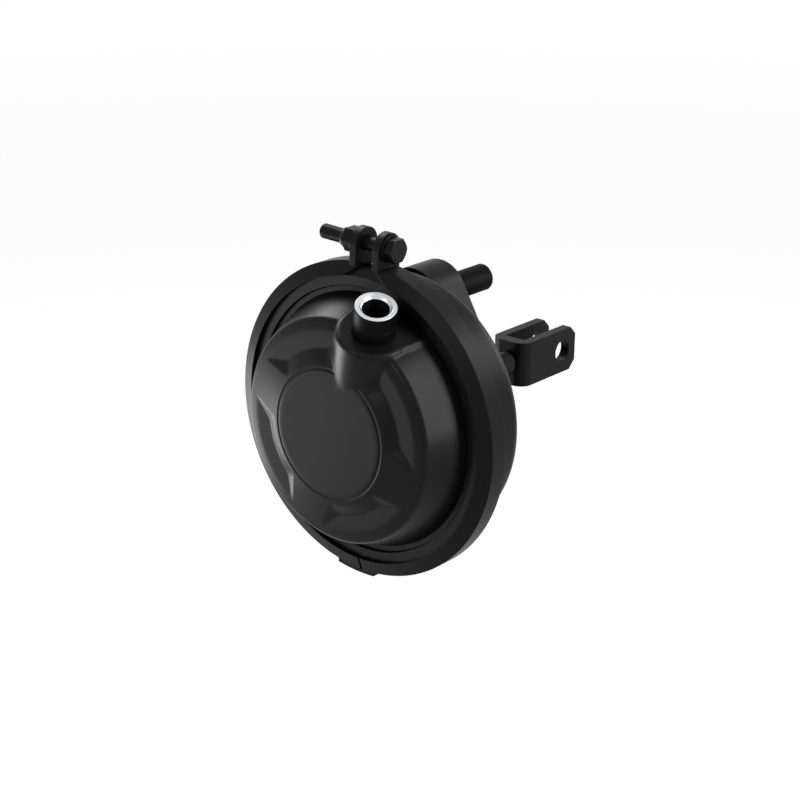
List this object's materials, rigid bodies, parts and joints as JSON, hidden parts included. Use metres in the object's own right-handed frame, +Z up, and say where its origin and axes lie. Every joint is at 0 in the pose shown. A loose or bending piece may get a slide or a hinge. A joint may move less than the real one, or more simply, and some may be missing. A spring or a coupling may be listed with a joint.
{
  "type": "diaphragm brake cylinder",
  "caption": "Black diaphragm brake cylinder with a clamped round body, a tilted air port, mounting studs and a sliding push rod with a clevis.",
  "frame": {"origin": "centre of the mounting face, on the axis of the push rod and midway between the two studs", "axes": "+X along the push rod towards the clevis, +Z up towards the clamp bolt, mounting face in the plane x = 0"},
  "size_m": [0.223, 0.184, 0.2054],
  "materials": {
    "cover_paint": "satin black paint on cast aluminium",
    "housing_paint": "satin black paint on cast aluminium",
    "band_paint": "satin black paint on sheet steel",
    "clevis_paint": "satin black paint on steel strip",
    "port_metal": "bare machined ring face, black paint on the side",
    "fastener_black": "black finished steel",
    "stud_black": "black finished steel",
    "zinc_steel": "zinc plated pressed steel",
    "spring_steel": "shot peened spring wire",
    "plate_steel": "phosphated pressed steel",
    "rod_steel": "black finished steel",
    "diaphragm_rubber": "fabric reinforced rubber",
    "seal_rubber": "moulded rubber",
    "guide_plastic": "moulded plastic",
    "plug_plastic": "moulded plastic"
  },
  "bodies": {
    "housing": {"cover": "cover_paint", "port_bush": "port_metal", "diaphragm": "diaphragm_rubber", "clamp_half_left": "band_paint", "clamp_half_right": "band_paint", "clamp_strap": "band_paint", "clamp_bolt": "fastener_black", "clamp_nut": "fastener_black", "clamp_washers": "fastener_black", "rear_housing": "housing_paint", "mounting_studs": "stud_black", "spring_seat": "zinc_steel", "dust_seal": "seal_rubber", "rod_guide": "guide_plastic", "vent_plugs": "plug_plastic", "return_spring": "spring_steel"},
    "rod": {"piston_plate": "plate_steel", "rod_collar": "plate_steel", "push_rod": "rod_steel", "lock_nut": "fastener_black", "clevis": "clevis_paint"}
  },
  "joints": [
    {"name": "rod_stroke", "type": "slide", "parent": "housing", "child": "rod", "axis": [1, 0, 0], "range_m": [0, 0.055], "stiffness_N_per_m": 2000, "springref_m": -0.07, "deforming": ["return_spring", "diaphragm"]}
  ]
}
